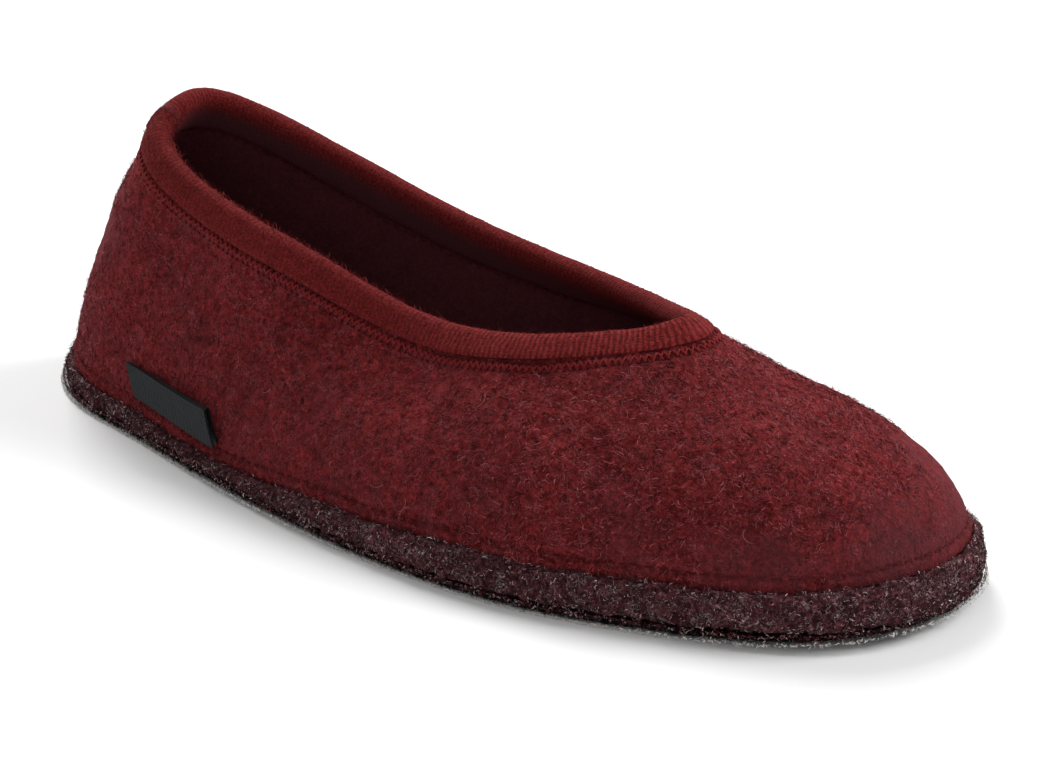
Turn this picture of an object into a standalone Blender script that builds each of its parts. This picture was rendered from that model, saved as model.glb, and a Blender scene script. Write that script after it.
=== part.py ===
"""Low felt slipper for the right foot, standing empty on its sole, in metres.

+X runs to the toe, +Y to the inner side of the foot and +Z up. The origin lies on
the floor, under the middle of the slipper's box.

The wall of the upper is lofted from staves: curves that stand on the foot line,
where the upper meets the sole, and end on the topline of the opening. Sole, tread,
insole, binding and label all take their places from the same staves.
"""
import math
from collections import namedtuple

import bmesh
import bpy
import numpy as np

MM = 0.001

# Last: the foot line, its breadths and the heights of the topline
LAST_LENGTH = 250 * MM
BALL_WIDTH = 93 * MM
HEEL_WIDTH = 66.5 * MM
HEEL_HEIGHT = 74 * MM
SIDE_HEIGHT = 45 * MM
THROAT_HEIGHT = 53.5 * MM
OPENING_LENGTH = 153 * MM
OPENING_WIDTH = 50 * MM
HEEL_SET_IN = 28 * MM
OPENING_SHIFT = 3 * MM

# Felts and how the pieces meet
WALL = 2.8 * MM
GAP = 0.3 * MM
SOLE_THICKNESS = 10.6 * MM
SOLE_LIP = 3.3 * MM
SEAT_DEPTH = 1.2 * MM
TREAD_THICKNESS = 1.4 * MM
TREAD_INSET = 1.6 * MM
INSOLE_THICKNESS = 3.0 * MM
INSOLE_BEVEL = 1.2 * MM
TOE_SPRING = 3.2 * MM
ARCH_LIFT = 0.7 * MM

# Binding: a knitted strip turned over the topline
BINDING_THICKNESS = 1.2 * MM
BINDING_OUTER_LEG = 5.8 * MM
BINDING_INNER_LEG = 8.5 * MM

# Label: a ribbon sewn to the outer side of the heel by its fold, its ends free
LABEL_START = 57 * MM
LABEL_LENGTH = 38.5 * MM
LABEL_WIDTH = 7.0 * MM
LABEL_SLANT = 6.5 * MM
LABEL_ABOVE_SOLE = 4.4 * MM
LABEL_THICKNESS = 0.6 * MM
LABEL_BACK = 0.42 * MM
LABEL_STAND_OFF = 2.0 * MM
LABEL_BACK_SHORTER = 2.5 * MM

# Fineness of the faceted solids
STAVES = 80
UPPER_LEVELS = 11
CURVE_SAMPLES = 61
LABEL_STEPS = 10
LABEL_LEVELS = 3

# One row for each stave that shapes the last, from the back of the heel along the
# outer side to the toe and back along the inner side. foot_x is a share of the last's
# length, by_heel and by_ball are shares of half the heel and ball widths. top_x is a
# share of the opening's length from its heel end, top_y of half its width. at_heel
# and at_throat lift the topline from the side's height towards those two heights.
# The leans are degrees: outwards at the foot, inwards at the top. The pulls are the
# handles of each stave's curve, as shares of the straight line from foot to top.
Stave = namedtuple("Stave", "foot_x by_heel by_ball top_x top_y at_heel at_throat "
                            "foot_lean top_lean foot_pull top_pull")
LAST = {
    "heel back":   Stave(0.000, 0.00, 0.00, 0.010, 0.00, 0.99, 0.00, -12, 36, .33, .39),
    "outer heel":  Stave(0.038, -.49, 0.00, 0.036, -.46, 0.85, 0.00, -11, 34, .33, .39),
    "outer rear":  Stave(0.160, -.89, 0.00, 0.200, -.89, 0.52, 0.00, -2, 14, .33, .33),
    "outer waist": Stave(0.380, 0.00, -.97, 0.420, -1.00, 0.25, 0.00, 4, 13, .33, .33),
    "outer joint": Stave(0.560, 0.00, -1.12, 0.630, -.92, -.02, 0.00, -3, 34, .34, .36),
    "outer ball":  Stave(0.700, 0.00, -1.11, 0.820, -.84, 0.00, 0.22, -5, 51, .34, .36),
    "outer toes":  Stave(0.830, 0.00, -.935, 0.945, -.43, 0.00, 0.58, -6, 55, .32, .32),
    "outer tip":   Stave(0.960, 0.00, -.60, 0.985, -.22, 0.00, 0.76, -8, 51, .31, .29),
    "toe":         Stave(1.006, 0.00, 0.00, 1.000, 0.00, 0.00, 0.84, -9, 49, .30, .27),
    "inner tip":   Stave(0.970, 0.00, 0.50, 0.985, 0.20, 0.00, 0.72, -8, 51, .31, .29),
    "inner toes":  Stave(0.870, 0.00, 0.73, 0.945, 0.37, 0.00, 0.54, -6, 54, .32, .32),
    "inner ball":  Stave(0.712, 0.00, 0.86, 0.820, 0.76, 0.00, 0.26, -5, 50, .34, .36),
    "inner waist": Stave(0.420, 0.00, 0.68, 0.500, 1.00, 0.19, 0.00, -3, 16, .33, .33),
    "inner rear":  Stave(0.160, 0.95, 0.00, 0.200, 0.89, 0.63, 0.00, -3, 11, .33, .33),
    "inner heel":  Stave(0.056, 0.61, 0.00, 0.024, 0.48, 1.00, 0.00, -10, 26, .33, .36),
}
TOE_ROW = list(LAST).index("toe")

# Where the sole's edge changes, as shares of the last's length from the heel, and how
# thick the edge is there, as shares of the sole's thickness
SOLE_STATIONS = (0.00, 0.10, 0.31, 0.50, 0.66, 0.82, 1.00)
SOLE_EDGE = (0.61, 0.57, 0.44, 0.74, 0.96, 1.00, 1.06)
LIP_STATIONS = (0.00, 0.08, 0.40, 1.00)
LIP = (0.50, 0.55, 1.00, 1.00)
ARCH_FROM = 0.22
ARCH_TO = 0.56
SPRING_FROM = 0.70

# Side of the sole from its lower edge up: how far each point stands out, as a share of
# the lip, and how high it is, as a share of the edge's height above the tread
SOLE_SIDE = ((0.86, 0.22), (1.00, 0.50), (0.90, 0.78), (0.62, 0.97))


def closed_spline(rows):
    """A closed cubic through the rows, as a function of a place from 0 to 1."""
    steps = np.linalg.norm(np.roll(rows, -1, axis=0)[:, :3] - rows[:, :3], axis=1)
    steps = steps + np.linalg.norm(np.roll(rows, -1, axis=0)[:, 3:6] - rows[:, 3:6], axis=1)
    knots = np.concatenate([[0.0], np.cumsum(steps)]) / steps.sum()
    count = len(rows)
    gaps = np.diff(knots)
    system = np.zeros((count, count))
    right = np.zeros_like(rows)
    for i in range(count):
        before = (i - 1) % count
        after = (i + 1) % count
        system[i, before] += gaps[before]
        system[i, i] += 2 * (gaps[before] + gaps[i])
        system[i, after] += gaps[i]
        right[i] = 6 * ((rows[after] - rows[i]) / gaps[i] - (rows[i] - rows[before]) / gaps[before])
    bends = np.linalg.solve(system, right)

    def at(places):
        places = np.mod(np.atleast_1d(places), 1.0)
        i = np.clip(np.searchsorted(knots, places, side="right") - 1, 0, count - 1)
        after = (i + 1) % count
        gap = gaps[i][:, None]
        up = ((places - knots[i]) / gaps[i])[:, None]
        down = 1 - up
        ends = down * rows[i] + up * rows[after]
        return ends + gap ** 2 / 6 * ((down ** 3 - down) * bends[i] + (up ** 3 - up) * bends[after])

    return at, knots


def along_last(x, stations, values):
    """A value read smoothly between stations, for places x along the last."""
    share = np.clip(x / LAST_LENGTH, 0.0, 1.0)
    i = np.clip(np.searchsorted(stations, share, side="right") - 1, 0, len(stations) - 2)
    low = np.array(stations)[i]
    high = np.array(stations)[i + 1]
    blend = (share - low) / (high - low)
    blend = blend * blend * (3 - 2 * blend)
    return np.array(values)[i] * (1 - blend) + np.array(values)[i + 1] * blend


def lift(x):
    """Height of the tread over the floor: flat heel and ball, arch and toe spring."""
    share = x / LAST_LENGTH
    arch = np.clip((share - ARCH_FROM) / (ARCH_TO - ARCH_FROM), 0, 1)
    spring = np.clip((share - SPRING_FROM) / (1 - SPRING_FROM), 0, 1)
    return ARCH_LIFT * np.sin(math.pi * arch) ** 2 + TOE_SPRING * spring ** 2


def edge_height(x):
    """Height of the foot line over the tread's lower face."""
    return SOLE_THICKNESS * along_last(x, SOLE_STATIONS, SOLE_EDGE)


def lip(x):
    """How far the sole stands out past the foot line, least behind the heel."""
    return SOLE_LIP * along_last(x, LIP_STATIONS, LIP)


def last_rows():
    """The table of staves in metres: foot, top, leans and pulls."""
    rows = []
    for s in LAST.values():
        foot_x = s.foot_x * LAST_LENGTH
        foot_y = s.by_heel * HEEL_WIDTH / 2 + s.by_ball * BALL_WIDTH / 2
        foot_z = float(lift(foot_x) + edge_height(foot_x))
        top_x = HEEL_SET_IN + s.top_x * OPENING_LENGTH
        middle = OPENING_SHIFT * math.sin(math.pi * min(s.top_x, 1.0)) ** 0.5 if s.top_y else 0.0
        top_y = middle + s.top_y * OPENING_WIDTH / 2
        top_z = SIDE_HEIGHT + s.at_heel * (HEEL_HEIGHT - SIDE_HEIGHT)
        top_z += s.at_throat * (THROAT_HEIGHT - SIDE_HEIGHT)
        rows.append((foot_x, foot_y, foot_z, top_x, top_y, top_z,
                     s.foot_lean, s.top_lean, s.foot_pull, s.top_pull))
    return np.array(rows)


SPLINE, KNOTS = closed_spline(last_rows())
TOE_PLACE = KNOTS[TOE_ROW]
STEP = 1e-4


def flat_normal(ends):
    """Outward normals in plan, from points a step before and after each place."""
    along = ends[1] - ends[0]
    out = np.column_stack([along[:, 1], -along[:, 0]])
    return out / np.linalg.norm(out, axis=1)[:, None]


def stave_handles(places):
    """Foot, two handles and top of the stave at each place around the last."""
    row = SPLINE(places)
    near = np.stack([SPLINE(places - STEP), SPLINE(places + STEP)])
    foot, top = row[:, :3], row[:, 3:6]
    foot[:, 2] = lift(foot[:, 0]) + edge_height(foot[:, 0])
    foot_out = flat_normal(near[:, :, :2])
    top_out = flat_normal(near[:, :, 3:5])
    foot_lean, top_lean = np.radians(row[:, 6]), np.radians(row[:, 7])
    straight = np.linalg.norm(top - foot, axis=1)[:, None]
    up = np.column_stack([foot_out * np.sin(foot_lean)[:, None], np.cos(foot_lean)])
    over = np.column_stack([-top_out * np.sin(top_lean)[:, None], np.cos(top_lean)])
    return foot, foot + row[:, 8:9] * straight * up, top - row[:, 9:10] * straight * over, top


def stave_points(places, shares):
    """Points of the outer wall, one at each place, at a share of its stave's curve."""
    a, b, c, d = stave_handles(places)
    t = np.broadcast_to(shares, places.shape)[:, None]
    return (1 - t) ** 3 * a + 3 * (1 - t) ** 2 * t * b + 3 * (1 - t) * t ** 2 * c + t ** 3 * d


def wall(places, shares):
    """Points of the outer wall and its outward normals."""
    points = stave_points(places, shares)
    around = stave_points(places + STEP, shares) - stave_points(places - STEP, shares)
    lower = np.clip(np.broadcast_to(shares, places.shape) - STEP, 0, 1)
    upper = np.clip(np.broadcast_to(shares, places.shape) + STEP, 0, 1)
    along = stave_points(places, upper) - stave_points(places, lower)
    normals = np.cross(around, along)
    return points, normals / np.linalg.norm(normals, axis=1)[:, None]


def shares_at(places, distances, from_top=False):
    """Shares of each stave's curve that lie at distances along it, from foot or top."""
    steps = np.linspace(0, 1, CURVE_SAMPLES)
    curves = np.stack([stave_points(places, s) for s in steps])
    lengths = np.linalg.norm(np.diff(curves, axis=0), axis=2)
    run = np.concatenate([np.zeros((1, len(places))), np.cumsum(lengths, axis=0)])
    shares = []
    for i, distance in enumerate(np.broadcast_to(distances, places.shape)):
        reach = run[-1, i] - distance if from_top else distance
        shares.append(np.interp(reach, run[:, i], steps))
    return np.array(shares), run[-1]


def ring_places():
    """Places of the staves around the last, with one at the heel and one at the toe."""
    half = STAVES // 2
    outer = np.linspace(0, TOE_PLACE, half, endpoint=False)
    inner = np.linspace(TOE_PLACE, 1, STAVES - half, endpoint=False)
    return np.concatenate([outer, inner])


PLACES = ring_places()


def centred(points):
    """Points moved so that the origin is under the middle of the slipper's box."""
    foot = stave_points(PLACES, 0.0)
    out = foot[:, :2] + lip(foot[:, 0])[:, None] * wall_out(PLACES)
    middle = (out.min(axis=0) + out.max(axis=0)) / 2
    return points - np.array([middle[0], middle[1], 0.0])


def wall_out(places):
    """Outward normals in plan along the foot line."""
    near = np.stack([SPLINE(places - STEP), SPLINE(places + STEP)])
    return flat_normal(near[:, :, :2])


def foot_ring(out, height):
    """A ring that follows the foot line, moved out and set at a height on its stave."""
    foot = stave_points(PLACES, 0.0)
    ring = foot.copy()
    ring[:, :2] += np.broadcast_to(out, PLACES.shape)[:, None] * wall_out(PLACES)
    ring[:, 2] = lift(foot[:, 0]) + height
    return ring


def material(name, colour, roughness):
    """A plain Principled finish in one colour, given as linear red, green and blue."""
    finish = bpy.data.materials.new(name)
    finish.use_nodes = True
    shader = finish.node_tree.nodes["Principled BSDF"]
    shader.inputs["Base Color"].default_value = (*colour, 1.0)
    shader.inputs["Roughness"].default_value = roughness
    shader.inputs["Metallic"].default_value = 0.0
    return finish


def add_rings(mesh, rings):
    """Quads between closed rings of equal length, from the lowest ring up."""
    loops = [[mesh.verts.new(p) for p in ring] for ring in rings]
    for low, high in zip(loops, loops[1:]):
        count = len(low)
        for i in range(count):
            j = (i + 1) % count
            mesh.faces.new((low[i], low[j], high[j], high[i]))
    return loops


def add_rungs(mesh, loop, upwards):
    """Closes a ring with strips from its outer side to its inner side, heel to toe."""
    half = len(loop) // 2
    for i in range(half):
        corners = [loop[i], loop[i + 1], loop[-i - 1], loop[-i]]
        if i == 0:
            corners = [loop[0], loop[1], loop[-1]]
        elif i == half - 1:
            corners = [loop[i], loop[half], loop[-i]]
        mesh.faces.new(corners if upwards else corners[::-1])


def finish_object(name, mesh, finish, collection):
    """An object with its own material, shaded smooth except across its real edges."""
    data = bpy.data.meshes.new(name)
    mesh.to_mesh(data)
    mesh.free()
    data.shade_smooth()
    data.set_sharp_from_angle(angle=math.radians(40))
    thing = bpy.data.objects.new(name, data)
    thing.data.materials.append(finish)
    collection.objects.link(thing)
    return thing


def plate(name, rings, finish, collection):
    """A closed plate: rings up its side, with rungs across its two faces."""
    mesh = bmesh.new()
    loops = add_rings(mesh, [centred(ring) for ring in rings])
    add_rungs(mesh, loops[0], upwards=False)
    add_rungs(mesh, loops[-1], upwards=True)
    return finish_object(name, mesh, finish, collection)


def thicken(thing, thickness, offset):
    """Gives an open surface its wall, inwards for offset -1 and outwards for +1."""
    solid = thing.modifiers.new("wall", "SOLIDIFY")
    solid.thickness = thickness
    solid.offset = offset
    solid.use_even_offset = False
    solid.use_rim = True


def tread_out():
    """How far the tread stands out past the foot line at each stave."""
    return lip(stave_points(PLACES, 0.0)[:, 0]) * (1 - TREAD_INSET / SOLE_LIP)


def make_tread(collection):
    """Thin bottom layer that meets the floor, set in from the sole's edge."""
    out = tread_out()
    rings = [foot_ring(out - GAP, 0.0), foot_ring(out, 0.3 * TREAD_THICKNESS),
             foot_ring(out, TREAD_THICKNESS)]
    return plate("tread", rings, material("latex dipped felt", (0.020, 0.018, 0.019), 0.9), collection)


def make_sole(collection):
    """Thick felt sole: a rounded side, a lip and a seat that takes the upper's edge."""
    x = stave_points(PLACES, 0.0)[:, 0]
    edge = edge_height(x)
    under = TREAD_THICKNESS + GAP
    rings = [foot_ring(tread_out() + GAP, under)]
    for out, up in SOLE_SIDE:
        rings.append(foot_ring(out * lip(x), under + up * (edge - under)))
    rings.append(foot_ring(GAP, edge))
    rings.append(foot_ring(GAP, edge - SEAT_DEPTH - GAP))
    return plate("sole", rings, material("plum sole felt", (0.060, 0.022, 0.030), 0.95), collection)


def make_insole(collection):
    """Felt footbed between the walls of the upper, on the sole."""
    edge = edge_height(stave_points(PLACES, 0.0)[:, 0])
    low = edge - SEAT_DEPTH
    side = WALL + GAP
    rings = [foot_ring(-side, low),
             foot_ring(-side, low + SEAT_DEPTH),
             foot_ring(-side - INSOLE_BEVEL, low + INSOLE_THICKNESS)]
    return plate("insole", rings, material("footbed felt", (0.030, 0.006, 0.008), 0.95), collection)


def make_upper(collection):
    """Felt wall from the sole's seat up to the topline, open above and underneath."""
    mesh = bmesh.new()
    foot = stave_points(PLACES, 0.0)
    rings = [foot - np.array([0.0, 0.0, SEAT_DEPTH])]
    lengths = shares_at(PLACES, 0.0)[1]
    for level in range(UPPER_LEVELS + 1):
        shares = shares_at(PLACES, lengths * level / UPPER_LEVELS)[0]
        rings.append(stave_points(PLACES, shares))
    add_rings(mesh, [centred(ring) for ring in rings])
    upper = finish_object("upper", mesh, material("boiled wool felt", (0.110, 0.012, 0.018), 0.95), collection)
    thicken(upper, WALL, -1)
    return upper


def make_binding(collection):
    """Knitted strip over the topline, with a leg down each side of the wall."""
    rings = []
    for share in (1.0, 0.5, 0.0):
        shares = shares_at(PLACES, share * BINDING_OUTER_LEG, from_top=True)[0]
        points, normals = wall(PLACES, shares)
        rings.append(points + GAP * normals)
    points, normals = wall(PLACES, 1.0)
    top_out = normals
    lower = wall(PLACES, 1.0 - 10 * STEP)[0]
    up = points - lower
    up = up / np.linalg.norm(up, axis=1)[:, None]
    middle = points - WALL / 2 * top_out
    turn = WALL / 2 + GAP
    for angle in (60, 90, 120):
        side = math.cos(math.radians(angle))
        rise = math.sin(math.radians(angle))
        rings.append(middle + turn * side * top_out + (GAP + turn * 0.35) * rise * up)
    for share in (0.0, 0.5, 1.0):
        shares = shares_at(PLACES, share * BINDING_INNER_LEG, from_top=True)[0]
        points, normals = wall(PLACES, shares)
        rings.append(points - (WALL + GAP) * normals)
    mesh = bmesh.new()
    add_rings(mesh, [centred(ring) for ring in rings])
    binding = finish_object("binding", mesh, material("knitted wool strip", (0.180, 0.014, 0.018), 0.9), collection)
    thicken(binding, BINDING_THICKNESS, 1)
    return binding


def label_place(distance):
    """Place on the outer side of the last, at a distance along the foot line from the heel."""
    places = np.linspace(0, TOE_PLACE, 400)
    foot = stave_points(places, 0.0)
    run = np.concatenate([[0.0], np.cumsum(np.linalg.norm(np.diff(foot, axis=0), axis=1))])
    return np.interp(distance, run, places)


def make_label(collection):
    """Folded ribbon, sewn down at its slanted fold, its front layer bowed off the wall."""
    steps = np.linspace(0, 1, LABEL_STEPS + 1)
    bow = LABEL_STAND_OFF * steps ** 1.5
    back_length = LABEL_LENGTH - LABEL_BACK_SHORTER
    back = GAP + LABEL_THICKNESS
    front_out = np.column_stack([steps * LABEL_LENGTH, back + LABEL_THICKNESS + bow])
    front_in = np.column_stack([steps * LABEL_LENGTH, back + bow])[:0:-1]
    back_out = np.column_stack([steps * back_length, GAP + LABEL_BACK * (steps > 0)])[1:]
    back_in = np.column_stack([steps * back_length, GAP + 0 * steps])[::-1]
    outline = np.concatenate([front_out, front_in, back_out, back_in])
    along = LABEL_START + outline[:, 0]
    stand = outline[:, 1:]
    rings = []
    for level in range(LABEL_LEVELS + 1):
        height = LABEL_ABOVE_SOLE + LABEL_WIDTH * level / LABEL_LEVELS
        places = label_place(along - LABEL_SLANT * level / LABEL_LEVELS)
        shares = shares_at(places, height)[0]
        points, normals = wall(places, shares)
        rings.append(points + stand * normals)
    mesh = bmesh.new()
    loops = add_rings(mesh, [centred(ring) for ring in rings])
    mesh.faces.new(loops[0][::-1])
    mesh.faces.new(loops[-1])
    bmesh.ops.triangulate(mesh, faces=[f for f in mesh.faces if len(f.verts) > 4])
    return finish_object("label", mesh, material("black woven ribbon", (0.020, 0.024, 0.024), 0.6), collection)


def main():
    for thing in list(bpy.data.objects):
        bpy.data.objects.remove(thing, do_unlink=True)
    collection = bpy.data.collections.new("felt slipper")
    bpy.context.scene.collection.children.link(collection)
    make_tread(collection)
    make_sole(collection)
    make_insole(collection)
    make_upper(collection)
    make_binding(collection)
    make_label(collection)


main()
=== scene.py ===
"""Felt slipper for the right foot: felt, knit, label, stitches and fuzz on its CAD frame.

Metres, +X to the toe, +Y to the inner side of the foot, +Z up. Each large piece starts
as a merged copy of its CAD node. Seams, ribs and stitches follow the staves of the last.
"""
import math
from collections import namedtuple

import bpy
import numpy as np
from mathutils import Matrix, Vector
from mathutils.kdtree import KDTree


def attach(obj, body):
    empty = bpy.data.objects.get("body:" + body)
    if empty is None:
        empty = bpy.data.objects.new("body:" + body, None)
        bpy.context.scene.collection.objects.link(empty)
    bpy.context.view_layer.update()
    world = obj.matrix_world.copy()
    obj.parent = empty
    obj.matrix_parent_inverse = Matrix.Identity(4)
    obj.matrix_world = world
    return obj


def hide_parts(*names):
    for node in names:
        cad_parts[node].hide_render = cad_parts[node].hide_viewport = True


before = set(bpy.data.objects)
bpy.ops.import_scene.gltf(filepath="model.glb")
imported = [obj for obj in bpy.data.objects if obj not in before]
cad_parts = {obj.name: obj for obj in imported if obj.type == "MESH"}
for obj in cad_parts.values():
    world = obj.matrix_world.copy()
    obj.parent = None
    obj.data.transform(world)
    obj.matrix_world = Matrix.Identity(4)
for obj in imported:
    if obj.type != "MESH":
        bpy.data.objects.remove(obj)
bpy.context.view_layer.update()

bl_info = {
    "name": "Felt slipper",
    "version": (1, 0, 0),
    "blender": (4, 5, 0),
    "location": "View3D > Sidebar > Felt slipper",
    "description": "Boiled wool felt, knitted binding, label, stitches and fuzz for a slipper",
    "category": "Object",
}

MM = 0.001

# The last, with the measures that its CAD solids have
LAST_LENGTH = 250 * MM
BALL_WIDTH = 93 * MM
HEEL_WIDTH = 66.5 * MM
HEEL_HEIGHT = 74 * MM
SIDE_HEIGHT = 45 * MM
THROAT_HEIGHT = 53.5 * MM
OPENING_LENGTH = 153 * MM
OPENING_WIDTH = 50 * MM
HEEL_SET_IN = 28 * MM
OPENING_SHIFT = 3 * MM
WALL = 2.8 * MM
SOLE_THICKNESS = 10.6 * MM
SOLE_LIP = 3.3 * MM
TREAD_THICKNESS = 1.4 * MM
TREAD_INSET = 1.6 * MM
TOE_SPRING = 3.2 * MM
ARCH_LIFT = 0.7 * MM
BINDING_OUTER_LEG = 5.8 * MM
BINDING_INNER_LEG = 8.5 * MM
SOLE_STITCH_HEIGHT = 2.9 * MM
SOLE_STATIONS = (0.00, 0.10, 0.31, 0.50, 0.66, 0.82, 1.00)
SOLE_EDGE = (0.61, 0.57, 0.44, 0.74, 0.96, 1.00, 1.06)
LIP_STATIONS = (0.00, 0.08, 0.40, 1.00)
LIP = (0.50, 0.55, 1.00, 1.00)
ARCH_FROM = 0.22
ARCH_TO = 0.56
SPRING_FROM = 0.70

# Staves of the last, from the back of the heel along the outer side to the toe and back
# along the inner side: feet, tops, heights, leans in degrees and pulls of the curves
Stave = namedtuple("Stave", "foot_x by_heel by_ball top_x top_y at_heel at_throat "
                            "foot_lean top_lean foot_pull top_pull")
LAST = {
    "heel back":   Stave(0.000, 0.00, 0.00, 0.010, 0.00, 0.99, 0.00, -12, 36, .33, .39),
    "outer heel":  Stave(0.038, -.49, 0.00, 0.036, -.46, 0.85, 0.00, -11, 34, .33, .39),
    "outer rear":  Stave(0.160, -.89, 0.00, 0.200, -.89, 0.52, 0.00, -2, 14, .33, .33),
    "outer waist": Stave(0.380, 0.00, -.97, 0.420, -1.00, 0.25, 0.00, 4, 13, .33, .33),
    "outer joint": Stave(0.560, 0.00, -1.12, 0.630, -.92, -.02, 0.00, -3, 34, .34, .36),
    "outer ball":  Stave(0.700, 0.00, -1.11, 0.820, -.84, 0.00, 0.22, -5, 51, .34, .36),
    "outer toes":  Stave(0.830, 0.00, -.935, 0.945, -.43, 0.00, 0.58, -6, 55, .32, .32),
    "outer tip":   Stave(0.960, 0.00, -.60, 0.985, -.22, 0.00, 0.76, -8, 51, .31, .29),
    "toe":         Stave(1.006, 0.00, 0.00, 1.000, 0.00, 0.00, 0.84, -9, 49, .30, .27),
    "inner tip":   Stave(0.970, 0.00, 0.50, 0.985, 0.20, 0.00, 0.72, -8, 51, .31, .29),
    "inner toes":  Stave(0.870, 0.00, 0.73, 0.945, 0.37, 0.00, 0.54, -6, 54, .32, .32),
    "inner ball":  Stave(0.712, 0.00, 0.86, 0.820, 0.76, 0.00, 0.26, -5, 50, .34, .36),
    "inner waist": Stave(0.420, 0.00, 0.68, 0.500, 1.00, 0.19, 0.00, -3, 16, .33, .33),
    "inner rear":  Stave(0.160, 0.95, 0.00, 0.200, 0.89, 0.63, 0.00, -3, 11, .33, .33),
    "inner heel":  Stave(0.056, 0.61, 0.00, 0.024, 0.48, 1.00, 0.00, -10, 26, .33, .36),
}

# Fineness of the grid that guides seams and ribs, and the share that a normal is read over
GUIDE_PLACES = 480
GUIDE_LEVELS = 57
STEP = 1e-4

# Camera: where the photo was taken from, its turn in degrees, its lens and sensor in mm
CAMERA_PLACE = (0.4410, -0.5984, 0.3191)
CAMERA_TURN = (68.35, -1.05, 35.89)
CAMERA_LENS = 118.0
CAMERA_SENSOR = 36.0


# Shape of the last

def closed_spline(rows):
    """A closed cubic through the rows, as a function of a place from 0 to 1."""
    steps = np.linalg.norm(np.roll(rows, -1, axis=0)[:, :3] - rows[:, :3], axis=1)
    steps = steps + np.linalg.norm(np.roll(rows, -1, axis=0)[:, 3:6] - rows[:, 3:6], axis=1)
    knots = np.concatenate([[0.0], np.cumsum(steps)]) / steps.sum()
    count = len(rows)
    gaps = np.diff(knots)
    system = np.zeros((count, count))
    right = np.zeros_like(rows)
    for i in range(count):
        before = (i - 1) % count
        after = (i + 1) % count
        system[i, before] += gaps[before]
        system[i, i] += 2 * (gaps[before] + gaps[i])
        system[i, after] += gaps[i]
        right[i] = 6 * ((rows[after] - rows[i]) / gaps[i] - (rows[i] - rows[before]) / gaps[before])
    bends = np.linalg.solve(system, right)

    def at(places):
        places = np.mod(np.atleast_1d(places), 1.0)
        i = np.clip(np.searchsorted(knots, places, side="right") - 1, 0, count - 1)
        after = (i + 1) % count
        gap = gaps[i][:, None]
        up = ((places - knots[i]) / gaps[i])[:, None]
        down = 1 - up
        ends = down * rows[i] + up * rows[after]
        return ends + gap ** 2 / 6 * ((down ** 3 - down) * bends[i] + (up ** 3 - up) * bends[after])

    return at, knots


def along_last(x, stations, values):
    """A value read smoothly between stations, for places x along the last."""
    share = np.clip(x / LAST_LENGTH, 0.0, 1.0)
    i = np.clip(np.searchsorted(stations, share, side="right") - 1, 0, len(stations) - 2)
    low = np.array(stations)[i]
    high = np.array(stations)[i + 1]
    blend = (share - low) / (high - low)
    blend = blend * blend * (3 - 2 * blend)
    return np.array(values)[i] * (1 - blend) + np.array(values)[i + 1] * blend


def lift(x):
    """Height of the tread over the floor."""
    share = x / LAST_LENGTH
    arch = np.clip((share - ARCH_FROM) / (ARCH_TO - ARCH_FROM), 0, 1)
    spring = np.clip((share - SPRING_FROM) / (1 - SPRING_FROM), 0, 1)
    return ARCH_LIFT * np.sin(math.pi * arch) ** 2 + TOE_SPRING * spring ** 2


def edge_height(x):
    """Height of the seam between upper and sole over the tread's lower face."""
    return SOLE_THICKNESS * along_last(x, SOLE_STATIONS, SOLE_EDGE)


def lip(x):
    """How far the sole stands out past the foot line."""
    return SOLE_LIP * along_last(x, LIP_STATIONS, LIP)


def last_rows():
    """The table of staves in metres: foot, top, leans and pulls."""
    rows = []
    for s in LAST.values():
        foot_x = s.foot_x * LAST_LENGTH
        foot_y = s.by_heel * HEEL_WIDTH / 2 + s.by_ball * BALL_WIDTH / 2
        foot_z = float(lift(foot_x) + edge_height(foot_x))
        top_x = HEEL_SET_IN + s.top_x * OPENING_LENGTH
        middle = OPENING_SHIFT * math.sin(math.pi * min(s.top_x, 1.0)) ** 0.5 if s.top_y else 0.0
        top_y = middle + s.top_y * OPENING_WIDTH / 2
        top_z = SIDE_HEIGHT + s.at_heel * (HEEL_HEIGHT - SIDE_HEIGHT)
        top_z += s.at_throat * (THROAT_HEIGHT - SIDE_HEIGHT)
        rows.append((foot_x, foot_y, foot_z, top_x, top_y, top_z,
                     s.foot_lean, s.top_lean, s.foot_pull, s.top_pull))
    return np.array(rows)


SPLINE, KNOTS = closed_spline(last_rows())


def flat_normal(ends):
    """Outward normals in plan, from points a step before and after each place."""
    along = ends[1] - ends[0]
    out = np.column_stack([along[:, 1], -along[:, 0]])
    return out / np.linalg.norm(out, axis=1)[:, None]


def foot_out(places):
    """Outward normals in plan along the foot line."""
    near = np.stack([SPLINE(places - STEP), SPLINE(places + STEP)])
    return flat_normal(near[:, :, :2])


def stave_points(places, shares):
    """Points of the outer wall, one at each place, at a share of its stave's curve."""
    row = SPLINE(places)
    near = np.stack([SPLINE(places - STEP), SPLINE(places + STEP)])
    foot, top = row[:, :3], row[:, 3:6]
    foot[:, 2] = lift(foot[:, 0]) + edge_height(foot[:, 0])
    out, top_out = flat_normal(near[:, :, :2]), flat_normal(near[:, :, 3:5])
    foot_lean, top_lean = np.radians(row[:, 6]), np.radians(row[:, 7])
    straight = np.linalg.norm(top - foot, axis=1)[:, None]
    up = np.column_stack([out * np.sin(foot_lean)[:, None], np.cos(foot_lean)])
    over = np.column_stack([-top_out * np.sin(top_lean)[:, None], np.cos(top_lean)])
    low = foot + row[:, 8:9] * straight * up
    high = top - row[:, 9:10] * straight * over
    t = np.broadcast_to(shares, places.shape)[:, None]
    return (1 - t) ** 3 * foot + 3 * (1 - t) ** 2 * t * low + 3 * (1 - t) * t ** 2 * high + t ** 3 * top


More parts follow.
